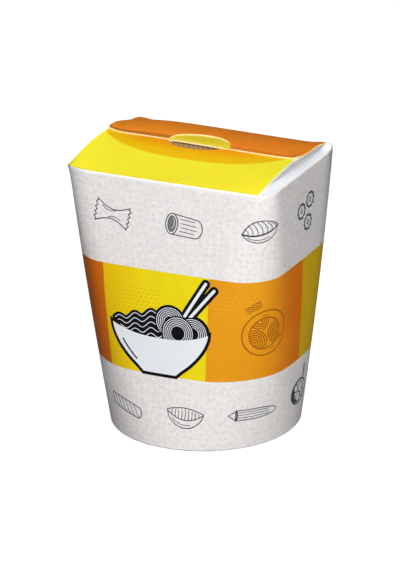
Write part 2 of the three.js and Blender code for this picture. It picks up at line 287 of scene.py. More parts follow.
def normals_of(height, x, y):
    step = 0.25
    slope_x = (height(x + step, y) - height(x - step, y)) / (2 * step)
    slope_y = (height(x, y + step) - height(x, y - step)) / (2 * step)
    return unit(np.c_[-slope_x, -slope_y, np.ones_like(x)])


# ---- meshes
class Surface:
    """Faces with their own normals, print coordinates and finishes, gathered into one mesh."""

    def __init__(self):
        self.points, self.normals, self.print_at = [], [], []
        self.faces, self.finishes = [], []
        self.count = 0

    def add(self, points, normals, print_at, faces, finishes):
        self.points.append(points)
        self.normals.append(np.broadcast_to(normals, (len(points), 3)))
        self.print_at.append(np.c_[print_at, np.zeros(len(points))])
        self.faces += [tuple(i + self.count for i in face) for face in faces]
        self.finishes += [finishes] * len(faces) if isinstance(finishes, str) else list(finishes)
        self.count += len(points)

    def build(self, name, materials):
        mesh = bpy.data.meshes.new(name)
        mesh.from_pydata((np.vstack(self.points) * MM).tolist(), [], self.faces)
        used = sorted(set(self.finishes))
        for finish in used:
            mesh.materials.append(materials[finish])
        mesh.polygons.foreach_set("material_index", [used.index(f) for f in self.finishes])
        mesh.polygons.foreach_set("use_smooth", [True] * len(self.faces))
        attribute = mesh.attributes.new("print", "FLOAT_VECTOR", "POINT")
        attribute.data.foreach_set("vector", np.vstack(self.print_at).ravel())
        mesh.normals_split_custom_set_from_vertices(np.vstack(self.normals).tolist())
        return placed(name, mesh)


def placed(name, data):
    """A new object in the scene."""
    piece = bpy.data.objects.new(name, data)
    bpy.context.scene.collection.objects.link(piece)
    return piece


def grid_faces(rows, columns, turned=False):
    """Faces between rows of points, turned over if asked."""
    faces = [(a, a + 1, a + columns + 1, a + columns)
             for row in range(rows - 1) for a in range(row * columns, (row + 1) * columns - 1)]
    return [(a, d, c, b) for a, b, c, d in faces] if turned else faces


def counter_clockwise(outline):
    x, y = outline.T
    area = np.sum(x * np.roll(y, -1) - np.roll(x, -1) * y)
    return outline if area > 0 else outline[::-1]


def dense(outline, longest=GRID):
    """The outline with points added along its long edges, so that it can follow a curved form."""
    pieces = []
    for start, end in zip(outline, np.roll(outline, -1, axis=0)):
        count = max(1, math.ceil(np.hypot(*(end - start)) / longest))
        pieces.append(start + (end - start) * np.linspace(0, 1, count, endpoint=False)[:, None])
    return np.vstack(pieces)


def triangulate(layers, scattered):
    """Triangles over flat layers, each with the topmost layer's finish; none in holes."""
    points, faces = [], []
    for outline, _ in layers:
        outline = counter_clockwise(dense(outline))
        faces.append(list(range(len(points), len(points) + len(outline))))
        points += outline.tolist()
    points += scattered
    made = delaunay_2d_cdt([Vector(p) for p in points], [], faces, 1, 1e-5, True)
    flat = np.array([tuple(p) for p in made[0]])
    found = [(tuple(face), layers[max(over)][1]) for face, over in zip(made[2], made[5]) if over]
    return flat, *zip(*[(face, finish) for face, finish in found if finish != "hole"])


def inside(point, outline):
    """Whether a point lies in an outline, by counting crossings."""
    x, y = point
    xa, ya = outline.T
    xb, yb = np.roll(xa, -1), np.roll(ya, -1)
    crosses = (ya > y) != (yb > y)
    with np.errstate(divide="ignore", invalid="ignore"):
        at = xa + (y - ya) / (yb - ya) * (xb - xa)
    return bool(np.sum(crosses & (at > x)) % 2)


def spread(outline, x_from, x_to, y_from, y_to):
    """A grid of points over a rectangle, kept where they lie in the outline."""
    xs = np.arange(x_from + LID_GRID / 2, x_to, LID_GRID)
    ys = np.arange(y_from + LID_GRID / 2, y_to, LID_GRID)
    return [(x, y) for x in xs for y in ys if inside((x, y), outline)]


# ---- outlines for the print
def arc(x, y, rx, ry=None, start=0.0, end=360.0, steps=None):
    """Points along an ellipse; a full turn doesn't repeat its first point."""
    ry = rx if ry is None else ry
    full = abs(end - start) >= 360
    steps = steps or max(10, int(abs(end - start) / 360 * (14 + 5 * max(rx, ry))))
    turns = np.radians(np.linspace(start, end, steps, endpoint=not full))
    return np.c_[x + rx * np.cos(turns), y + ry * np.sin(turns)]


def sideways(points, closed, sharpest=0.6):
    """Unit normals to the left of a line, stretched at its corners so that its width holds."""
    if closed:
        ahead, behind = np.roll(points, -1, axis=0) - points, points - np.roll(points, 1, axis=0)
    else:
        steps = np.diff(points, axis=0)
        ahead, behind = np.vstack([steps, steps[-1:]]), np.vstack([steps[:1], steps])
    ahead, behind = unit(ahead), unit(behind)
    mean = unit(ahead + behind)
    stretch = 1 / np.clip(np.sum(mean * ahead, axis=1), sharpest, 1)
    return np.c_[-mean[:, 1], mean[:, 0]] * stretch[:, None]


def stroke(points, width):
    """A line of that width as an outline."""
    across = sideways(points, closed=False) * width / 2
    return np.vstack([points + across, (points - across)[::-1]])


def rounded_bar(start, end, width):
    """A straight bar with round ends."""
    turn = math.degrees(math.atan2(end[1] - start[1], end[0] - start[0]))
    r = width / 2
    return np.vstack([arc(*end, r, r, turn - 90, turn + 90, 9),
                      arc(*start, r, r, turn + 90, turn + 270, 9)])


def grown(outline, by):
    """A closed outline moved outwards, or inwards if by is negative."""
    outline = counter_clockwise(outline)
    return outline - sideways(outline, True, 0.6 if by > 0 else 0.2) * by


LINE, THIN = 0.48, 0.36  # widths of the drawn lines


def line(points, width=THIN, ink="ink"):
    """An open line, as one layer."""
    return stroke(points, width), ink


def ring(outline, width=LINE, ink="ink", fill="rings"):
    """A closed line: its outside in ink, its inside in the fill."""
    return [(grown(outline, width / 2), ink), (grown(outline, -width / 2), fill)]


def moved(shapes, x, y, degrees=0):
    turn = math.radians(degrees)
    spin = np.array([[math.cos(turn), math.sin(turn)], [-math.sin(turn), math.cos(turn)]])
    return [(outline @ spin + [x, y], ink) for outline, ink in shapes]


def bow_tie():
    """Bow-tie pasta: two pinked ends and a pinched middle."""
    half, end_half, waist = 8.0, 5.7, 2.2
    teeth, tooth = 5, 0.9
    xs = np.linspace(0.5 - half, half - 0.5, 15)
    top = np.c_[xs, waist + (end_half - waist) * np.abs(xs / half) ** 1.7]
    side = np.linspace(end_half, -end_half, 2 * teeth + 1)[1:-1]
    zigzag = np.c_[half - tooth * (np.arange(len(side)) % 2 == 0), side]
    shapes = ring(np.vstack([top, zigzag, -top, -zigzag]))
    for y, reach in ((1.2, 3.6), (-0.9, 2.8)):  # creases
        xs = np.linspace(-reach, reach, 9)
        shapes.append(line(np.c_[xs - 1.2 * y, y + 0.13 * np.sign(y) * xs**2]))
    specks = (-5.0, 1.0), (-5.4, -1.6), (4.8, -1.2), (5.2, 1.9), (-4.4, 2.6)
    return shapes + [(arc(x, y, 0.2, steps=6), "ink") for x, y in specks]


def tube():
    """Short ribbed tube, seen a little from its end."""
    half, mouth_x, mouth_y, far_y = 5.4, 2.7, 4.8, 4.3
    body = np.vstack([arc(half, 0, 3.0, far_y, -90, 90), arc(-half, 0, mouth_x, mouth_y, 90, 270)])
    shapes = ring(body) + ring(arc(-half, 0, mouth_x, mouth_y))
    shapes += ring(arc(-half, 0, 1.75, 3.7), THIN, fill="shade")
    shapes.append(line(arc(-half - 0.5, 0.4, 1.6, 3.0, -60, 60, 9), 0.3, "rings"))
    ribs = (3.0, 3.6), (1.1, 3.9), (-0.8, 4.2), (-2.6, 3.6)
    return shapes + [line(np.c_[np.linspace(start - half, half + 1.0 - 0.5 * abs(y), 5),
                                np.full(5, y)]) for y, start in ribs]


def shell():
    """Striped open shell with a thick lip."""
    half, top, lip, bottom = 8.5, 5.1, -1.6, -5.2
    xs = np.linspace(-half, half, 21)
    across = dome(xs, half)
    hull = np.c_[xs, bottom * across**0.75]
    shapes = ring(np.vstack([hull, np.c_[xs, top * across][-2:0:-1]]))
    shapes.append(line(np.c_[xs, lip * across], 0.8))
    t = np.linspace(0, 1, 7)
    for x in np.linspace(-6.0, 6.6, 7):
        stripe_y = (lip + t * (top - lip)) * dome(x, half)
        shapes.append(line(np.c_[x + 0.9 * np.sin(t * math.pi) - 1.2 * t, stripe_y]))
    inner = np.linspace(-0.75, 0.35, 9) * half
    return shapes + [line(np.c_[inner, 0.75 * bottom * dome(inner, half)])]


def wheels():
    """Three small toothed rings."""
    radius, teeth, tooth = 3.3, 10, 0.1
    turns = np.radians(np.linspace(0, 360, teeth * 6, endpoint=False))
    r = radius * (1 + tooth * np.cos(teeth * turns))
    shapes = []
    for x, y in ((2.8, 3.8), (-5.6, 1.0), (0.9, -6.2)):
        shapes += ring(np.c_[x + r * np.cos(turns), y + r * np.sin(turns)], 0.9)
        shapes += ring(arc(x, y, 0.75, 1.0), 0.5)
    return shapes


def twisted_bar():
    """Twisted bar with slanting grooves."""
    half, thick, swell, slant, nose = 10.2, 2.5, 0.8, 2.3, 1.6
    xs = np.linspace(-half, half - nose, 12)
    top = np.c_[xs, thick + swell * np.sin((xs + half) / (2 * half) * math.pi)]
    shapes = ring(np.vstack([[(-half, -thick)], top, arc(half - nose, 0, nose, thick, 60, -90, 7)]))
    t = np.linspace(-1, 1, 9)
    for x in np.linspace(-half + 0.4, half - 3.6, 7):
        reach = thick * 0.92 + swell * 0.7 * np.clip(t, 0, 1)
        groove = np.c_[x + slant * (0.2 - t) + 0.5 * np.sin(t * math.pi), t * reach]
        shapes.append(line(groove[groove[:, 0] > 0.4 - half]))
    return shapes


def boat():
    """Open boat-shaped shell with a scalloped far edge."""
    half, far, scallop, lip, bottom = 9.2, 1.9, 0.4, -3.6, -7.4
    xs = np.linspace(-half, half, 43)
    share = dome(xs, half)
    top = far * share + scallop * np.abs(np.sin(xs / half * 4.5 * math.pi)) * (share > 0.02)
    hull = bottom * share**0.62
    shapes = ring(np.vstack([np.c_[xs, hull][::2], np.c_[xs, top][-2:0:-1]]))
    shapes.append(line(np.c_[xs, lip * share][1:-1:2], LINE))
    t = np.linspace(0, 1, 5)
    for x in np.linspace(-6.8, 6.8, 9):
        near = dome(x, half)
        shapes.append(line(np.c_[x + 0.2 * np.sin(3 * t), lip * near + t * 4.9 * near]))
    inner = np.linspace(-0.7, 0.3, 9) * half
    return shapes + [line(np.c_[inner, -6.0 * dome(inner, half) ** 0.8])]


def quill():
    """Long ribbed tube with slanted ends."""
    half, mouth_x = 12.9, -9.3
    xs = np.linspace(mouth_x, half, 17)
    thick = 2.0 * (1 - np.clip((xs - mouth_x) / (half - mouth_x), 0, 1) ** 5) ** 0.8 + 0.5
    body = np.vstack([np.c_[xs, thick], np.c_[xs, -thick][::-1]])
    tip = np.array([(-half, 0.2), (mouth_x, 2.4), (mouth_x + 0.8, 0.0), (mouth_x, -2.4)])
    shapes = ring(tip) + ring(body) + [line(arc(mouth_x - 0.1, 0, 0.9, 2.5, 90, -90, 9), 0.8)]
    ribs = 0.55, 0.05, -0.5
    return shapes + [line(np.c_[xs[1:-3], share * thick[1:-3]]) for share in ribs]


def dish():
    """Small dish of loops with one stick."""
    crescent = np.vstack([arc(-0.4, 0, 7.4, 5.0, 75, 285), arc(0.2, 0, 4.6, 4.8, 280, 80)])
    shapes = ring(arc(0, 0, 8.0, 5.7), 0.8) + [(crescent, "ink")]
    for loop in ((-3.4, 2.4, 1.9), (1.9, 1.6, 2.5), (-0.6, -2.3, 2.3), (4.2, -1.8, 2.0)):
        shapes += ring(arc(*loop), 0.6)
    return shapes + [(rounded_bar((4.6, 5.6), (5.4, 11.4), 1.4), "ink")]


def noodle_bowl():
    """Bowl of waves and coiled nests, with two sticks, in black and white."""
    half, top, base, kink, foot, rim_sag = 23.5, 1.5, -19.3, 18.4, 8.2, 4.4
    outline, white_line, bar, bar_light = 1.5, 0.33, 4.2, 1.4
    wave_start, wave_end, crest_x, crest_y = -22.6, 3.0, -20.3, 4.9
    climb, swing, wavelength, cut = 0.27, 1.05, 7.95, -6.0

    def side_at(depth):
        return half * (1 - (depth / 23.8) ** 1.7) ** 0.75

    depths = np.linspace(0, kink, 16)
    side = np.c_[side_at(depths), top - depths]
    xs = np.linspace(-half, half, 25)[1:-1]
    rim = np.c_[xs, top - rim_sag * (1 - np.abs(xs / half) ** 2.6)]
    body = np.vstack([side, [(foot, base), (-foot, base)], side[::-1] * [-1, 1], rim])

    def wave(start, drop):
        x = np.linspace(start, wave_end, 36)
        off = x - crest_x
        crests = crest_y + climb * off + swing * (np.cos(off / wavelength * 2 * math.pi) - 1)
        return np.c_[x, crests - drop * (2.1 + 0.7 * (x + 23) / 26)]

    first = wave(wave_start, 0)
    below = (wave_end, cut), (wave_start + 0.2, cut)
    humps = np.vstack([first + 1.35 * sideways(first, False), below])
    # Each nest: its middle, its black disc and the largest of its five white circles.
    nests, gap = ((5.0, 5.4, 7.9, 6.5), (15.8, 1.2, 8.7, 6.9), (8.9, 0.7, 8.0, 7.1)), 0.9
    sticks = (((12.1, 9.2), (21.5, 25.4)), ((14.7, 8.8), (25.5, 22.7)))
    shapes = [(grown(body, outline), "black"), (humps, "black")]
    shapes += [(arc(x, y, r), "black") for x, y, r, _ in nests]
    shapes += [(rounded_bar(*ends, bar), "black") for ends in sticks]
    shapes += [(rounded_bar(*ends, bar_light), "white") for ends in sticks]
    shapes += [line(wave(wave_start + 0.4 + 1.3 * i, i), white_line, "white") for i in range(5)]
    for x, y, _, largest in nests:
        shapes.append((arc(x, y, largest + gap), "black"))
        for i in range(5):
            shapes += ring(arc(x, y, round(largest - gap * i, 1)), white_line, "white", "black")
    shine = np.linspace(7.2, 15.8, 9)
    shine_line = line(np.c_[2.6 - side_at(shine), top - shine], 0.75, "black")
    return shapes + [(body, "white"), shine_line]


def plate():
    """Plate of arcs with three steam waves, as brown lines."""
    well = well_x, well_y, well_r = -0.4, 0.3, 7.7
    shapes = []
    for outline in ((0.1, 0.4, 11.5, 11.0), well):
        shapes += ring(arc(*outline), 0.55, "brown", "orange")
    # Three fans of arcs fill the plate, the later ones running on under the earlier ones.
    fans = ((-6.0, -4.4, 7.4), (6.6, 0.4, 6.6), (-3.6, 6.4, 11.0))
    for number, (x, y, reach) in enumerate(fans):
        for radius in np.arange(1.2, reach, 1.1):
            turn = arc(x, y, radius, steps=90)
            shown = np.hypot(turn[:, 0] - well_x, turn[:, 1] - well_y) < well_r - 0.3
            for over_x, over_y, over in fans[:number]:
                shown &= np.hypot(turn[:, 0] - over_x, turn[:, 1] - over_y) > over + 0.2
            breaks = np.where(np.diff(shown.astype(int)))[0] + 1
            for run in np.split(np.arange(len(turn)), breaks):
                if shown[run[0]] and len(run) > 3:
                    shapes.append(line(turn[run], 0.5, "brown"))
    for start, end, r in ((84, 104, 9.3), (-28, 8, 9.5), (-36, -14, 8.8), (-70, -57, 9.2)):
        shapes.append(line(arc(0, 0.3, r, r * 0.96, start, end, 7), ink="brown"))
    t = np.linspace(0, 1, 25)
    wave = 0.42 * np.sin(t * 4.5 * 2 * math.pi)
    for i in range(3):  # steam
        x, y = -10.5 + 0.55 * i + 6.8 * t, 12.9 - 1.1 * i + 3.9 * t
        shapes.append(line(np.c_[x - 0.5 * wave, y + 0.85 * wave], ink="brown"))
    return shapes


# ---- layout of the wall's print
BAND_LOW, BAND_HIGH = 34.3, 82.5
BLOCKS = ((SEAM - SEAM_TUCK, -52, "yellow"), (-52, -30, "orange"), (-30, 20, "yellow"),
          (20, 76, "orange"), (76, 98, "yellow"), (98, 120, "orange"), (120, 170, "yellow"),
          (170, SEAM + SHEET, "orange"))
SLOT = SHEET / 9  # spacing of the drawings
UPPER_ROW = ((bow_tie, -24.8, 105.5, -11), (tube, 7.7, 104.8, -6), (shell, 42.0, 107.0, 14),
             (wheels, 78.8, 105.0, 0))
LOWER_ROW = ((twisted_bar, -23.0, 15.9, -10), (boat, 10.4, 18.4, -3), (quill, 44.3, 16.9, -1),
             (dish, 78.6, 17.6, 0))
PICTURES = ((noodle_bowl, -3.0, 54.4), (plate, 47.2, 56.3))  # repeated at the back
MARGIN, MARGIN_HALF = 1.5, 44.5  # plain edge under the front and back folds
INK_OVER_FOLD = 0.42  # how far the flaps' ink runs down over the fold
RIM_TO_SHEET = SHEET / 331  # the rim is 331 mm round
# The front slit is painted shadow: a dark strip of ink under the front flap's left corner.
FRONT_SLIT, SLIT_HEIGHT = (-46.9, -43.0), 0.5  # dark gap under the front flap's left corner
CORNER_AT = 45.4  # the box's corners on the sheet, from the middle of the front or the back
# The mesh is finer near a corner, in a strip that widens below the rim, and finest at the top.
CORNER_REACH, CORNER_SPREAD, FINEST_ABOVE = 4.5, 0.12, 90.0


def rim_run(x):
    """Distance along the rim from the middle of the front, round the corner where x is past it."""
    past = max(abs(x) - RIM_WIDTH / 2 + RIM_CORNER, 0)
    return math.copysign(abs(x) - past + RIM_CORNER * math.asin(min(past / RIM_CORNER, 1)), x)


def wall_print():
    """The wall sheet's layers, from the bottom up."""
    left, right = SEAM - SEAM_TUCK, SEAM + SHEET
    box = lambda a, b, c, d: np.array([(a, c), (b, c), (b, d), (a, d)], float)
    ink_low = V_HIGH - INK_OVER_FOLD
    layers = [(box(left, right, V_LOW, V_HIGH), "rings")]
    for middle, flap, *ends in ((0, "yellow_rim", FRONT_LEFT[1], FRONT_RIGHT[1]),
                                (SHEET / 2, "orange_rim", -BACK_RIGHT[1], -BACK_LEFT[1])):
        margin = box(middle - MARGIN_HALF, middle + MARGIN_HALF, RIM_HEIGHT - MARGIN, V_HIGH)
        inked = [middle + rim_run(x) * RIM_TO_SHEET for x in ends]
        layers += [(margin, "plain"), (box(*inked, ink_low, V_HIGH), flap)]
    # Painted shadow of the gap under the front flap's left corner.
    layers.append((box(*FRONT_SLIT, ink_low - SLIT_HEIGHT, ink_low), "ink"))
    layers += [(box(a, b, BAND_LOW, BAND_HIGH), ink) for a, b, ink in BLOCKS]
    for start in (0, SHEET / 2):
        for drawing, s, v in PICTURES:
            layers += moved(drawing(), start + s, v)
    for row in (UPPER_ROW, LOWER_ROW):
        for slot in range(9):
            drawing, s, v, turn = row[slot % 4]
            s = s + (slot - slot % 4) * SLOT
            layers += moved(drawing(), s - SHEET if s > SEAM + SHEET else s, v, turn)
    return layers


def wall_points():
    """Loose points that give the sheet its curvature, closer together at the rim's corners."""
    points = []
    levels = np.r_[np.linspace(V_LOW, HEM_ROUND, 5)[1:],
                   np.arange(HEM_ROUND + GRID, RIM_HEIGHT - GRID / 2, GRID),
                   np.linspace(RIM_HEIGHT - FOLD_ROUND, V_HIGH, 6)[:-1]]
    corners = [middle + side for middle in (0, SHEET / 2) for side in (-CORNER_AT, CORNER_AT)]
    for v in levels:
        finer = 4 if v > FINEST_ABOVE else 2
        reach = CORNER_REACH + (RIM_HEIGHT - v) * CORNER_SPREAD
        for i, s in enumerate(np.arange(SEAM + GRID / 2, SEAM + SHEET - GRID / 4, GRID / finer)):
            if i % finer == 0 or min(abs(s - corner) for corner in corners) < reach:
                points.append((s, v))
    return points


# ---- finishes
def linear(red, green, blue):
    """Linear colour from 8-bit sRGB."""
    values = [c / 255 for c in (red, green, blue)]
    return (*[c / 12.92 if c <= 0.04045 else ((c + 0.055) / 1.055) ** 2.4 for c in values], 1.0)


DULL = {"roughness": 0.45, "coat": 0.0, "mottle": 0.1, "specular": 0.05}
CLOUDS, FIBRES, SPECKLE = 0.11, 2.2, 7.0  # noise scales of the board's unevenness
FIBRE_STRETCH, CLOUD_TINT = (1.0, 0.45, 1.0), (0.72, 0.70, 0.68, 1)
BUMP_STRENGTH, BUMP_DEPTH, COAT_ROUGHNESS = 0.25, 0.00006, 0.35


class Paint:
    """Short calls for building one material's nodes."""

    def __init__(self, name):
        self.material = bpy.data.materials.new(name)
        self.material.use_nodes = True
        self.tree = self.material.node_tree
        self.shader = self.tree.nodes["Principled BSDF"]
        self.at = self.node("Attribute", "Vector", attribute_type="GEOMETRY",
                            attribute_name="print")
        self.x = self.node("SeparateXYZ", inputs={0: self.at})
        self.y = self.x.node.outputs[1]

    def repeat(self, start, length=SHEET / 2):
        """Make the print's x start again after each length."""
        past = self.math("FLOORED_MODULO", self.math("SUBTRACT", self.x, start), length)
        self.x = self.math("ADD", past, start)

    def feed(self, socket, value):
        if isinstance(value, bpy.types.NodeSocket):
            self.tree.links.new(value, socket)
        else:
            socket.default_value = value

    def node(self, kind, out=0, inputs=(), **settings):
        node = self.tree.nodes.new("ShaderNode" + kind)
        for key, value in settings.items():
            setattr(node, key, value)
        for key, value in dict(inputs).items():
            self.feed(node.inputs[key], value)
        return node.outputs[out]

    def math(self, operation, a, b=0.0):
        return self.node("Math", inputs={0: a, 1: b}, operation=operation)

    def step(self, value, start, end):
        """0 before start and 1 past end, smoothly."""
        return self.node("MapRange", inputs={0: value, 1: start, 2: end, 3: 0.0, 4: 1.0},
                         interpolation_type="SMOOTHSTEP")

    def times(self, a, b):
        return self.math("MULTIPLY", a, b)

    def mix(self, share, a, b, blend="MIX"):
        return self.node("Mix", 2, {0: share, 6: a, 7: b}, data_type="RGBA", blend_type=blend)

    def fade(self, value, start, end, colour, rgb):
        """The colour, turning to the 8-bit one between start and end."""
        return self.mix(self.step(value, start, end), colour, linear(*rgb))

    def noise(self, scale, detail=2.0, stretch=None):
        at = self.at
        if stretch:
            at = self.node("Mapping", inputs={"Vector": at, "Scale": stretch})
        return self.node("TexNoise", inputs={"Vector": at, "Scale": scale, "Detail": detail},
                         noise_dimensions="2D")

    def shade(self, **values):
        """Set or link the shader's sockets."""
        for name, value in values.items():
            self.feed(self.shader.inputs[name.replace("_", " ")], value)
        return self.material

    def finish(self, colour, roughness=0.45, coat=0.02, grain=1.0, mottle=0.05, specular=0.12):
        """Board under the given colour: faint mottling, fibres and an uneven gloss."""
        cloudy = self.times(self.step(self.noise(CLOUDS, 3.0), 0.35, 0.65), mottle)
        fibres = self.noise(FIBRES, 3.0, FIBRE_STRETCH)
        height = self.math("ADD", fibres, self.times(self.noise(SPECKLE), 0.5))
        bump = {"Strength": BUMP_STRENGTH * grain, "Distance": BUMP_DEPTH, "Height": height}
        gloss = {0: fibres, 1: 0.3, 2: 0.7, 3: roughness - 0.05, 4: roughness + 0.06}
        return self.shade(Base_Color=self.mix(cloudy, colour, CLOUD_TINT, "MULTIPLY"),
                          Roughness=self.node("MapRange", inputs=gloss),
                          Normal=self.node("Bump", inputs=bump), Coat_Weight=coat,
                          Coat_Roughness=COAT_ROUGHNESS, Specular_IOR_Level=specular)

    def dashes(self, length, height, gap):
        """Staggered rows of short printed dashes: 1 on a dash."""
        rows = {"Vector": self.at, "Scale": 1.0, "Mortar Size": gap / 2, "Mortar Smooth": 0.6,
                "Brick Width": length, "Row Height": height}
        return self.math("SUBTRACT", 1.0, self.node("TexBrick", "Fac", rows, offset=0.5))

    def window(self, low_x, high_x, low_y, high_y, soft):
        """1 inside a soft-edged rectangle."""
        across = self.times(self.step(self.x, low_x, low_x + soft),
                            self.step(self.x, high_x, high_x - soft))
        return self.times(self.times(across, self.step(self.y, low_y, low_y + soft)),
                          self.step(self.y, high_y, high_y - soft))

    def past_ridge(self):
        """How far a point of the lid lies behind the ridge's middle, along its slant."""
        return self.math("ADD", self.y, self.times(self.x, RIDGE_SKEW / FLAP_HALF))


def ringed_white():
    """White board with small printed rings, beige, pinkish and grey."""
    paint = Paint("ringed_white")
    colour = linear(244, 242, 241)
    beige, grey, randomness = linear(214, 186, 168), linear(190, 184, 192), 0.62
    for spacing, radius, where, strength in ((2.0, 0.34, (0, 0, 0), 0.36),
                                             (3.1, 0.17, (7.3, 4.1, 0), 0.24)):
        at = paint.node("Mapping", inputs={"Vector": paint.at, "Location": where})
        cells = {"Vector": at, "Scale": 1 / spacing, "Randomness": randomness}
        distance = paint.node("TexVoronoi", "Distance", cells, voronoi_dimensions="2D")
        off = paint.math("ABSOLUTE", paint.math("SUBTRACT", distance, radius))
        tint = paint.mix(distance.node.outputs["Color"], beige, grey)
        colour = paint.mix(paint.times(paint.step(off, 0.11, 0.04), strength), colour, tint)
    return paint.finish(colour, roughness=0.42, mottle=0.08)


def plain(name, rgb, **finish):
    return Paint(name).finish(linear(*rgb), **finish)


# Each colour of the band: where its run begins, its first colour, the turns to other colours
# (from x, to x, colour), and faint dashes that show inside soft-edged windows.
# The first colours and the turns are painted shade: the blocks run darker and redder towards the
# side walls.
BANDS = {
    "yellow": {"start": -80, "first": (225, 184, 8),
               "turns": ((-52, -30, (238, 196, 20)), (-30, -6, (243, 221, 26))),
               "dashes": (2.4, 1.9, 1.3), "windows": ((-34, 6, 54, 82, 14),),
               "tint": (214, 168, 12)},
    "orange": {"start": -74, "first": (186, 86, 15),
               "turns": ((-50, -28, (218, 112, 20)), (-28, 20, (234, 157, 29)),
                         (40, 76, (238, 118, 6))),
               "dashes": (2.6, 1.9, 1.2), "windows": ((14, 52, 58, 86, 12), (44, 82, 32, 58, 12)),
               "tint": (240, 176, 52)},
}
DASH_STRENGTH = 0.4


def band(name, start, first, turns, dashes, windows, tint):
    paint = Paint("band_" + name)
    paint.repeat(start)
    colour = linear(*first)
    # The turns paint shade: darker, redder colours towards the side walls.
    for turn_from, turn_to, rgb in turns:
        colour = paint.fade(paint.x, turn_from, turn_to, colour, rgb)
    shown = paint.window(*windows[0])
    for window in windows[1:]:
        shown = paint.math("MAXIMUM", shown, paint.window(*window))
    dots = paint.times(paint.times(paint.dashes(*dashes), shown), DASH_STRENGTH)
    return paint.finish(paint.mix(dots, colour, linear(*tint)), **DULL)


def flap_yellow():
    """Yellow flap, amber along the ridge inside a wide arc: painted shadow of the back flap's edge.
    """
    shift, half, power, fall, low = 1.0, 47.0, 3.1, 12.3, -13.8  # of the arc
    paint = Paint("flap_yellow")
    off = paint.math("ABSOLUTE", paint.math("DIVIDE", paint.math("ADD", paint.x, shift), half))
    edge = paint.math("ADD", paint.times(paint.math("POWER", off, power), fall), low)
    past = paint.math("SUBTRACT", paint.y, edge)
    # Painted shadow: amber past the arc, turning redder nearer the ridge.
    # Painted shadow: amber past the arc, turning redder nearer the ridge.
    colour = paint.fade(past, -0.6, 0.8, linear(250, 236, 50), (243, 191, 12))
    colour = paint.fade(past, 3.0, 13.0, colour, (240, 140, 10))
    # Behind the ridge, where it shows through the finger hole, the flap is painted duller as shade
    # under the back flap.
    # Behind the ridge, where it shows through the finger hole, the flap is painted duller as shade
    # under the back flap.
    colour = paint.fade(paint.past_ridge(), RIDGE_Y - 0.1, RIDGE_Y + 0.1, colour, (222, 198, 46))
    return paint.finish(colour, roughness=0.38, coat=0.03, mottle=0.04)


def flap_orange():
    """Orange flap, darker and redder in front of its pressed line: painted shade of the bent strip.
    """
    crease, soft = RIDGE_Y + CREASE_OFFSET, 0.15
    paint = Paint("flap_orange")
    # The strip's colours are painted shade, darkest at the left.
    # The strip's colours are painted shade, darkest at the left.
    strip = paint.fade(paint.x, -30, 40, linear(196, 112, 34), (216, 124, 34))
    wide = paint.fade(paint.x, -40, 10, linear(240, 143, 38), (231, 131, 36))
    past = paint.step(paint.past_ridge(), crease - soft, crease + soft)
    return paint.finish(paint.mix(past, strip, wide), **DULL)


def lens_brown():
    """Shaded kraft side of the board inside the finger hole, with slanting streaks."""
    slant, streaks = 0.7, 2.6
    paint = Paint("lens_brown")
    along = paint.math("ADD", paint.x, paint.times(paint.y, slant))
    wave = paint.math("SINE", paint.times(along, streaks))
    colour = paint.fade(wave, -0.5, 0.8, linear(176, 142, 98), (150, 118, 78))
    return paint.finish(colour, roughness=0.6, coat=0.0, mottle=0.2)


def finishes():
    return {
        "rings": ringed_white(),
        "plain": plain("plain_white", (244, 244, 244)),
        "yellow_rim": plain("rim_yellow", (250, 236, 50), roughness=0.38),
        "orange_rim": plain("rim_orange", (224, 128, 34), roughness=0.4),
        **{name: band(name, **values) for name, values in BANDS.items()},
        "ink": plain("print_ink_and_painted_slit_shadow", (62, 64, 70), mottle=0.25),
        "shade": plain("pasta_shade", (120, 122, 128), mottle=0.25),
        "black": plain("bowl_black", (12, 13, 17), roughness=0.4),
        "white": plain("bowl_white", (238, 242, 247)),
        "brown": plain("plate_brown", (150, 84, 14), mottle=0.2),
        "flap_yellow": flap_yellow(),
        "flap_orange": flap_orange(),
        "cut_edge": plain("cut_edge", (255, 222, 160), roughness=0.7, coat=0.0),
        "cut_white": plain("cut_white", (244, 240, 228), roughness=0.7, coat=0.0),
        "inside": plain("board_inside", (226, 222, 212), roughness=0.6, coat=0.0, grain=1.6),
        "side_white": plain("side_white", (242, 246, 251), roughness=0.42),
        # The slopes are painted the brightest white, standing in for light that the lid's overhang
        # keeps off them.
        "slope_white": plain("slope_white", (250, 249, 245), roughness=0.5),
        "kraft": lens_brown(),
        "base": plain("base_board", (236, 233, 226), roughness=0.62, coat=0.0, grain=2.0),
        "floor": floor_white(),
    }


def floor_white():
    """Plain pale tabletop, with the faintest unevenness."""
    paint = Paint("floor_white")
    dark, pale = ((shade, shade, shade, 1) for shade in (FLOOR_SHADE, FLOOR_SHADE + 0.02))
    seen = paint.node("LightPath", "Is Camera Ray")
    return paint.shade(Base_Color=paint.mix(paint.step(paint.noise(0.01), 0.3, 0.7), dark, pale),
                       Roughness=0.9, Specular_IOR_Level=0.1, Emission_Color=(1, 1, 1, 1),
                       Emission_Strength=paint.times(seen, FLOOR_GLOW))


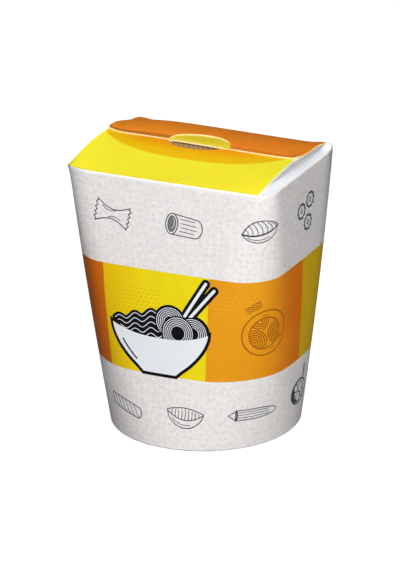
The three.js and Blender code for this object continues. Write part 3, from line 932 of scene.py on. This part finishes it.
# ---- pieces of the box
def lathe(surface, profile, finish, segments, ripple=None):
    """A profile of (radius, height) turned about the upright axis, seen from its left."""
    profile = np.asarray(profile, float)
    turns = np.linspace(0, 2 * math.pi, segments + 1)
    rows = len(profile)
    steps = np.diff(profile, axis=0)
    lean = unit(np.c_[steps[:, 1], -steps[:, 0]])
    lean = unit(np.vstack([lean[:1], lean[1:] + lean[:-1], lean[-1:]]))
    points, normals = [], []
    for turn in turns:
        r = profile[:, 0] + (ripple(turn, profile) if ripple else 0)
        points.append(np.c_[r * math.cos(turn), r * math.sin(turn), profile[:, 1]])
        normals.append(np.c_[lean[:, 0] * math.cos(turn), lean[:, 0] * math.sin(turn), lean[:, 1]])
    points, normals = np.vstack(points), np.vstack(normals)
    run = np.r_[0, np.cumsum(np.hypot(*steps.T))]
    at = np.c_[np.repeat(turns * FOOT_RADIUS, rows), np.tile(run, segments + 1)]
    surface.add(points, normals, at, grid_faces(segments + 1, rows, turned=True), finish)


def walls():
    surface = Surface()
    flat, triangles, inks = triangulate(wall_print(), wall_points())
    points, normals = wall_surface(flat[:, 0], flat[:, 1])
    surface.add(points, normals, flat, triangles, inks)
    # The cut end of the sheet at the seam.
    v = np.linspace(V_LOW + 0.4, V_HIGH, 60)
    outer, normal = wall_surface(np.full_like(v, SEAM + SHEET - 1e-6), v)
    near = on_wall(SEAM + np.array([-1.0, 1.0]), np.full(2, SEAM_HEIGHT))
    surface.add(np.vstack([outer, outer - normal * SEAM_STEP]), unit(near[1] - near[0]),
                np.c_[np.r_[v, v], np.zeros(2 * len(v))], grid_faces(2, len(v), turned=True),
                "cut_white")
    # The hem: rounded under the foot, then up inside to the base.
    inner_r = FOOT_RADIUS - HEM_WIDTH
    turn = np.radians(np.linspace(0, 90, 6))
    hem = [(inner_r + HEM_ROUND * (1 - math.sin(a)), HEM_ROUND * (1 - math.cos(a))) for a in turn]
    hem += [(inner_r, 3.0), (inner_r, cup_high[2] / MM + HEM_OVERLAP)]
    lathe(surface, hem[::-1], "base", 360)
    return surface


def board(layers, scattered, height, edge, fold, lift=lambda x, y: 0):
    """A sheet of board over flat layers: printed top, plain underside and cut edges.

    edge gives the finish between two points, and fold says where the board runs on instead.
    """
    surface = Surface()
    flat, triangles, inks = triangulate(layers, scattered)
    x, y = flat.T
    normals = normals_of(height, x, y)
    top = np.c_[x, y, height(x, y) + lift(x, y)]
    bottom = top - [0, 0, BOARD]
    surface.add(top, normals, flat, triangles, inks)
    surface.add(bottom, -normals, flat, [t[::-1] for t in triangles], "inside")
    sides = dict.fromkeys(side for a, b, c in triangles for side in ((a, b), (b, c), (c, a)))
    for start, end in sides:
        if (end, start) in sides or (fold(flat[start]) and fold(flat[end])):
            continue
        run = flat[end] - flat[start]
        out = unit(np.array([run[1], -run[0], EDGE_LEAN * np.hypot(*run)]))
        surface.add([bottom[start], bottom[end], top[end], top[start]], out,
                    [flat[start], flat[end], flat[end] + 0.5, flat[start] + 0.5],
                    [(0, 1, 2, 3)], edge(flat[start], flat[end]))
    return surface


def edge_x(ends, bulge, share):
    """x of a flap's side edge, from the ridge (share 0) to the fold (share 1)."""
    bulge = math.copysign(bulge, ends[0])
    return ends[0] + (ends[1] - ends[0]) * share + bulge * 4 * share * (1 - share)


def flap_edge(ends, bulge, fold_at, count):
    share = np.linspace(0, 1, count)
    x = edge_x(ends, bulge, share)
    return np.c_[x, ridge_y(x) + (fold_at(x) - ridge_y(x)) * share]


def half_moon(middle, half, depth, lopsided, steps=36):
    """Outline of one half of the finger hole, from its right end round to its left."""
    turn = np.linspace(0, math.pi, steps)
    x = middle + half * np.cos(turn)
    return np.c_[x, ridge_y(x) + depth * np.sin(turn) * (1 + lopsided * np.cos(turn))]


def front_flap():
    start = lambda x: -fold_y(x) + FOLD_ROUND
    left = flap_edge(FRONT_LEFT, FRONT_BULGE, start, 30)
    right = flap_edge(FRONT_RIGHT, FRONT_BULGE, start, 30)
    tuck = [(x, ridge_y(ridge_x) + past) for x, ridge_x, past in TUCK_OUTLINE]
    fold_x = np.linspace(right[-1, 0], left[-1, 0], 160)[-2:0:-1]
    outline = np.vstack([right[::-1], tuck, left, np.c_[fold_x, start(fold_x)]])
    holes = [(half_moon(*eye), "hole") for eye in (EYE_FRONT, EYE_SLIT)]
    scattered = spread(outline, *FRONT_AREA)
    # The side edges are painted whiter than the cream edges in the finger hole, standing in for
    # light they catch.
    edge = lambda a, b: "cut_edge" if max(abs(a[0]), abs(b[0])) < HOLE_REACH else "cut_white"
    fold = lambda point: point[1] < start(point[0]) + FOLD_SLACK
    return board([(outline, "flap_yellow")] + holes, scattered, front_top, edge, fold, eye_lift)


def back_flap():
    end = lambda x: fold_y(x) - FOLD_ROUND
    left = flap_edge(BACK_LEFT, BACK_BULGE, end, 26)
    right = flap_edge(BACK_RIGHT, BACK_BULGE, end, 26)
    notch = half_moon(*EYE_BACK)
    corner_x, corner_y = right[0, 0] - FLAP_CORNER, ridge_y(right[0, 0]) + FLAP_CORNER
    right_run = np.linspace(notch[0, 0], corner_x, 24)[1:-1]
    left_run = np.linspace(left[0, 0], notch[-1, 0], 24)[:-1]
    corner = arc(corner_x, corner_y, FLAP_CORNER, start=280, end=350, steps=6)
    fold_x = np.linspace(right[-1, 0], left[-1, 0], 60)[1:-1]
    outline = np.vstack([np.c_[left_run, ridge_y(left_run)], notch[::-1],
                         np.c_[right_run, ridge_y(right_run)], corner, right[2:],
                         np.c_[fold_x, end(fold_x)], left[:0:-1]])
    scattered = spread(outline, *BACK_AREA)
    crease_x = np.linspace(-44.8, 45.2, 80)
    for offset in (-0.45, -0.2, 0.0, 0.2, 0.45):  # finer across the pressed line
        crease = np.c_[crease_x, ridge_y(crease_x) + CREASE_OFFSET + offset].tolist()
        scattered += [point for point in crease if inside(point, outline)]
    fold = lambda point: point[1] > end(point[0]) - FOLD_SLACK
    return board([(outline, "flap_orange")], scattered, back_top, lambda a, b: "cut_edge", fold)


def lid_top(x, y):
    return np.where(y > ridge_y(x), back_top(x, y), front_top(x, y))


def lid_edge_x(side, y):
    """Where the lid's side edge lies at each y."""
    reach = RIM_DEPTH / 2
    front, back = (FRONT_RIGHT, BACK_RIGHT) if side > 0 else (FRONT_LEFT, BACK_LEFT)
    ahead = edge_x(front, FRONT_BULGE, np.clip((RIDGE_Y - y) / (RIDGE_Y + reach), 0, 1))
    behind = edge_x(back, BACK_BULGE, np.clip((y - RIDGE_Y) / (reach - RIDGE_Y), 0, 1))
    return np.where(y < RIDGE_Y, ahead, behind)


def side_flap(side):
    """Side flap: a band along the rim, a score line, then a slope up under the lid."""
    inner_x = RIM_WIDTH / 2 - SIDE_BAND
    steps, band_shares = 90, (0, 0.25, 0.5, 0.75, 0.93)
    climb_shares, beneath = (0.04, 0.1, 0.3, 0.5, 0.7, 0.85, 1.0), (3.0, 8.0)
    middle = side * SHEET / 4
    s = np.linspace(middle - SIDE_REACH, middle + SIDE_REACH, 4001)
    rim, _ = wall_surface(s, np.full_like(s, V_HIGH))
    rim = rim[np.abs(rim[:, 0]) >= inner_x]
    rim = rim[np.linspace(0, len(rim) - 1, steps).astype(int)]
    y_end = fold_y(inner_x) - FOLD_ROUND
    y = side * np.linspace(-y_end, y_end, steps)
    x = np.full(steps, side * inner_x)
    rise = SIDE_BAND_RISE * (1 - np.abs(y / (RIM_DEPTH / 2)) ** 4)
    score = np.c_[x, y, RIM_HEIGHT + rise + ear_rise(x, y)]
    rows = [rim + (score - rim) * share for share in band_shares] + [score - [0, 0, SIDE_SCORE]]
    # From the score line the board climbs to the lid's edge, then runs on flat beneath it.
    edge = lid_edge_x(side, y)
    for share in climb_shares:
        x = score[:, 0] + (edge - side * EDGE_INSET - score[:, 0]) * share
        under_lid = lid_top(x, y) - BOARD
        rows.append(np.c_[x, y, score[:, 2] + (under_lid - score[:, 2]) * share])
    for inwards in beneath:
        x = edge - side * inwards
        rows.append(np.c_[x, y, lid_top(x, y) - BOARD - UNDER_GAP])
    points = np.array(rows)
    in_band = len(band_shares)
    # Beside the lid's front right corner the first faces are painted dark, as shadow in the slit
    # there.
    kinds = [("ink" if side > 0 and j == 0 and i > 1 else "side_white") if i < in_band
             else "slope_white" for i in range(len(rows) - 1) for j in range(steps - 1)]
    normals = np.cross(np.gradient(points, axis=1), np.gradient(points, axis=0))
    lengths = np.linalg.norm(normals, axis=-1, keepdims=True)
    normals = np.where(lengths > 1e-9, normals / np.maximum(lengths, 1e-9), [0, 0, 1.0])
    normals[in_band:] = unit(normals[in_band:] + [0, 0, SLOPE_LEAN])
    flat = points.reshape(-1, 3)
    surface = Surface()
    surface.add(flat, normals.reshape(-1, 3), flat[:, :2], grid_faces(len(rows), steps), kinds)
    return surface


def inner_tab():
    """The board that shows through the finger hole, a little below the lid."""
    middle, half, y_from, y_to, drop, slope = EYE_BACK[0], 17, -9.5, 4, 1.3, 0.12
    columns, rows = 24, 12

    def height(x, y):
        return front_top(x, np.minimum(y, ridge_y(x))) - drop + slope * (y - (RIDGE_Y - 4))

    xs, ys = np.linspace(middle - half, middle + half, columns), np.linspace(y_from, y_to, rows)
    x, y = (values.ravel() for values in np.meshgrid(xs, ys))
    surface = Surface()
    points, normals = np.c_[x, y, height(x, y)], normals_of(height, x, y)
    surface.add(points, normals, np.c_[x, y], grid_faces(rows, columns), "kraft")
    return surface


def base_cup():
    """Round base set into the foot, its skirt knurled where it was rolled."""
    outer, top, lower = cup_high[0] / MM, cup_high[2] / MM, cup_low[2] / MM
    skirt, thick, r = 0.9, 1.0, 0.4
    knurls, knurl_depth = 120, 0.14
    inner = outer - skirt

    def knurl(turn, profile):
        on_skirt = (profile[:, 0] < inner + 0.05) & (profile[:, 0] > inner - 0.05)
        low_down = (profile[:, 1] > lower + 0.6) & (profile[:, 1] < top - thick - 1.2)
        return knurl_depth * np.sin(turn * knurls) * (on_skirt & low_down)

    floor_z = top - thick
    bend = ((-1.2, 0), (-0.5, -0.1), (-0.1, -0.5), (0, -1.0), (0, -1.5))  # floor to skirt
    roll = ((0, 1.4), (0, 0.8), (0, 0.4), (0.15, 0.1), (0.45, 0), (skirt - 0.15, 0.1), (skirt, 0.4))
    profile = [(0, floor_z), (inner * 0.5, floor_z)]
    profile += [(inner + x, floor_z + z) for x, z in bend]
    profile += [(inner + x, lower + z) for x, z in roll]
    profile += [(outer, top - r), (outer - r, top), (outer * 0.5, top), (0, top)]
    surface = Surface()
    lathe(surface, profile, "base", 720, knurl)
    return surface


def floor():
    """Large round tabletop with a softly rounded rim."""
    far, thick, bevel = 6000, 30, 8
    profile = [(far, -thick), (far, -bevel), (far - bevel, 0), (far / 2, 0), (far / 10, 0), (0, 0)]
    surface = Surface()
    lathe(surface, profile, "floor", 96)
    return surface


# ---- light and camera
TARGET = (0.0, 0.0, RIM_HEIGHT / 2)
AZIMUTH, ELEVATION, ROLL = 25.85, 21.35, -1.06
DISTANCE = 2500.0
FOCAL_PX = 5580.0  # focal length over the image's long side
IMAGE = (400, 570)
TARGET_PX = (203.75, 287.0)  # where the target shows
SENSOR = 36.0
FLOOR_SHADE = 0.30  # how much light the tabletop throws back onto the box
FLOOR_GLOW = 0.9  # brightness added to the tabletop where it is seen, so that it reads as white
LIGHTS = (  # name, place, aimed at, width, height, power in watts
    ("overhead", (0, 0, 1500), (0, 0, 0), 1000, 500, 10.3),
    ("front", (380, -746, 416), (0, 0, 60), 520, 650, 6.5),
    ("right", (857, -857, 760), (0, 0, 60), 500, 500, 3.2),
    ("left", (-846, -1008, 539), (0, 0, 60), 700, 700, 0.4),
    ("back", (-520, 1080, 40), (0, 0, 60), 800, 500, 2.0),
)
WORLD = 0.02


def camera():
    data = bpy.data.cameras.new("camera")
    data.sensor_width = SENSOR
    data.lens = FOCAL_PX / max(IMAGE) * SENSOR
    data.shift_x = (IMAGE[0] / 2 - TARGET_PX[0]) / max(IMAGE)
    data.shift_y = (TARGET_PX[1] - IMAGE[1] / 2) / max(IMAGE)
    data.clip_start, data.clip_end = 0.05, 50
    piece = placed("camera", data)
    a, e, roll = (math.radians(angle) for angle in (AZIMUTH, ELEVATION, ROLL))
    out = Vector((math.sin(a) * math.cos(e), -math.cos(a) * math.cos(e), math.sin(e)))
    piece.rotation_mode = "QUATERNION"
    aim = (-out).to_track_quat("-Z", "Y")
    piece.rotation_quaternion = aim @ Matrix.Rotation(roll, 3, "Z").to_quaternion()
    piece.location = (Vector(TARGET) + out * DISTANCE) * MM
    bpy.context.scene.camera = piece


def lights():
    for name, place, aim, width, height, power in LIGHTS:
        data = bpy.data.lights.new(name, "AREA")
        data.shape = "RECTANGLE"
        data.size, data.size_y = width * MM, height * MM
        data.energy = power
        piece = placed(name, data)
        piece.location = Vector(place) * MM
        piece.visible_glossy = name != "back"  # no pale sheen on the orange flap
        piece.rotation_euler = (Vector(aim) - Vector(place)).to_track_quat("-Z", "Y").to_euler()
    world = bpy.data.worlds.new("studio")
    world.use_nodes = True
    background = world.node_tree.nodes["Background"]
    background.inputs["Color"].default_value = (1, 1, 1, 1)
    background.inputs["Strength"].default_value = WORLD
    bpy.context.scene.world = world


camera()
lights()
bpy.context.scene.view_settings.view_transform = "Standard"
materials = finishes()
blank = {"wall_sheet": walls(), "front_flap": front_flap(), "back_flap": back_flap(),
         "side_flap_right": side_flap(1), "side_flap_left": side_flap(-1), "inner_tab": inner_tab()}
for name, surface in blank.items():
    piece = surface.build(name, materials)
    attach(piece, "root")
    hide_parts("paper_box")
cup = base_cup().build("base_cup", materials)
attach(cup, "root")
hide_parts("base_disc")
floor().build("floor", materials)
